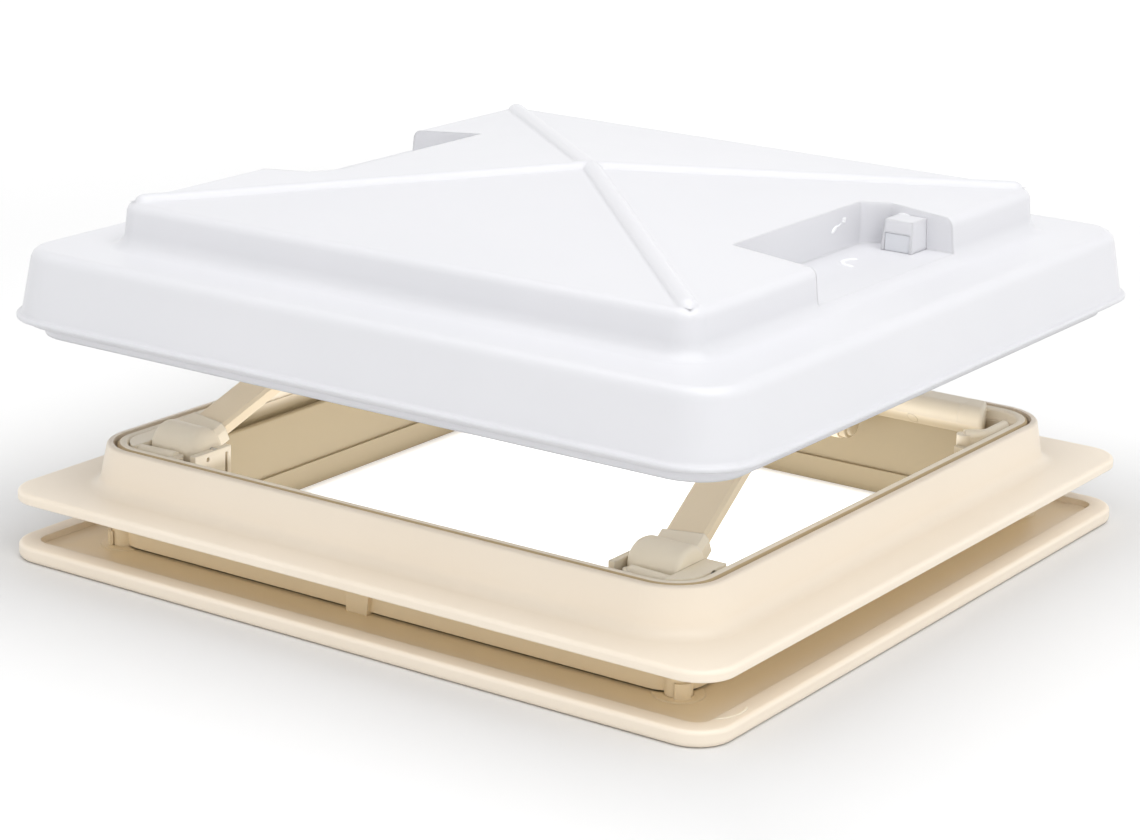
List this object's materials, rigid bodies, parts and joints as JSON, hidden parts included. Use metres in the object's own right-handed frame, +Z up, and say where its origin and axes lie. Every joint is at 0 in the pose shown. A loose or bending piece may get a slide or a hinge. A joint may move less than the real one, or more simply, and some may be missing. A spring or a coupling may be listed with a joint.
{
  "type": "caravan roof vent",
  "caption": "Square caravan roof vent: stepped dome with crown ribs lifts level on two coupled bails over a collared outer frame, clamped to a ceiling frame.",
  "frame": {"origin": "middle of the underside of the inner frame", "axes": "+Z up out of the roof, +X along the handle bars, -Y towards the pivots of the front bail"},
  "size_m": [0.485, 0.485, 0.2285],
  "materials": {
    "dome_white": "satin",
    "frame_cream": "satin",
    "arm_beige": "satin",
    "gasket_cream": "matte",
    "seal_rubber": "matte",
    "plated_steel": "satin"
  },
  "bodies": {
    "frame": {"outer_frame": "frame_cream", "inner_frame": "frame_cream", "collar_gasket": "gasket_cream", "corner_block_left": "frame_cream", "corner_block_front": "frame_cream", "corner_web_right": "frame_cream", "corner_web_back": "frame_cream", "rear_hinge_rail": "frame_cream", "clamp_screws": "plated_steel", "block_screws": "plated_steel", "rail_screws": "plated_steel", "front_pin_left": "plated_steel", "front_pin_right": "plated_steel", "rear_pin_left": "plated_steel", "rear_pin_right": "plated_steel"},
    "front_bail": {"front_knuckle_left": "frame_cream", "front_knuckle_right": "frame_cream", "front_arm_left": "arm_beige", "front_arm_right": "arm_beige", "front_bar": "plated_steel", "front_grip": "arm_beige"},
    "rear_bail": {"rear_arm_left": "arm_beige", "rear_arm_right": "arm_beige", "rear_bar": "plated_steel", "rear_grip": "arm_beige"},
    "dome": {"dome_outer_skin": "dome_white", "dome_inner_skin": "dome_white", "dome_seal": "seal_rubber", "front_slide_left": "arm_beige", "front_slide_right": "arm_beige", "rear_slide_left": "arm_beige", "rear_slide_right": "arm_beige", "slide_screws": "plated_steel", "vent_hood_left": "dome_white", "vent_hood_right": "dome_white"}
  },
  "joints": [
    {"name": "dome_lift", "type": "slide", "parent": "frame", "child": "dome", "axis": [0, 0, 1], "range_m": [-0.09, 0]},
    {"name": "front_bail_swing", "type": "hinge", "parent": "frame", "child": "front_bail", "pos_m": [0, -0.166, 0.063], "axis": [1, 0, 0], "range_deg": [-24, 0]},
    {"name": "rear_bail_swing", "type": "hinge", "parent": "frame", "child": "rear_bail", "pos_m": [0, 0.166, 0.047], "axis": [-1, 0, 0], "range_deg": [-24, 0]}
  ],
  "couplings": [
    {"joint": "front_bail_swing", "follows": "dome_lift", "rad_per_m": 4.6542},
    {"joint": "rear_bail_swing", "follows": "dome_lift", "rad_per_m": 4.6542}
  ]
}
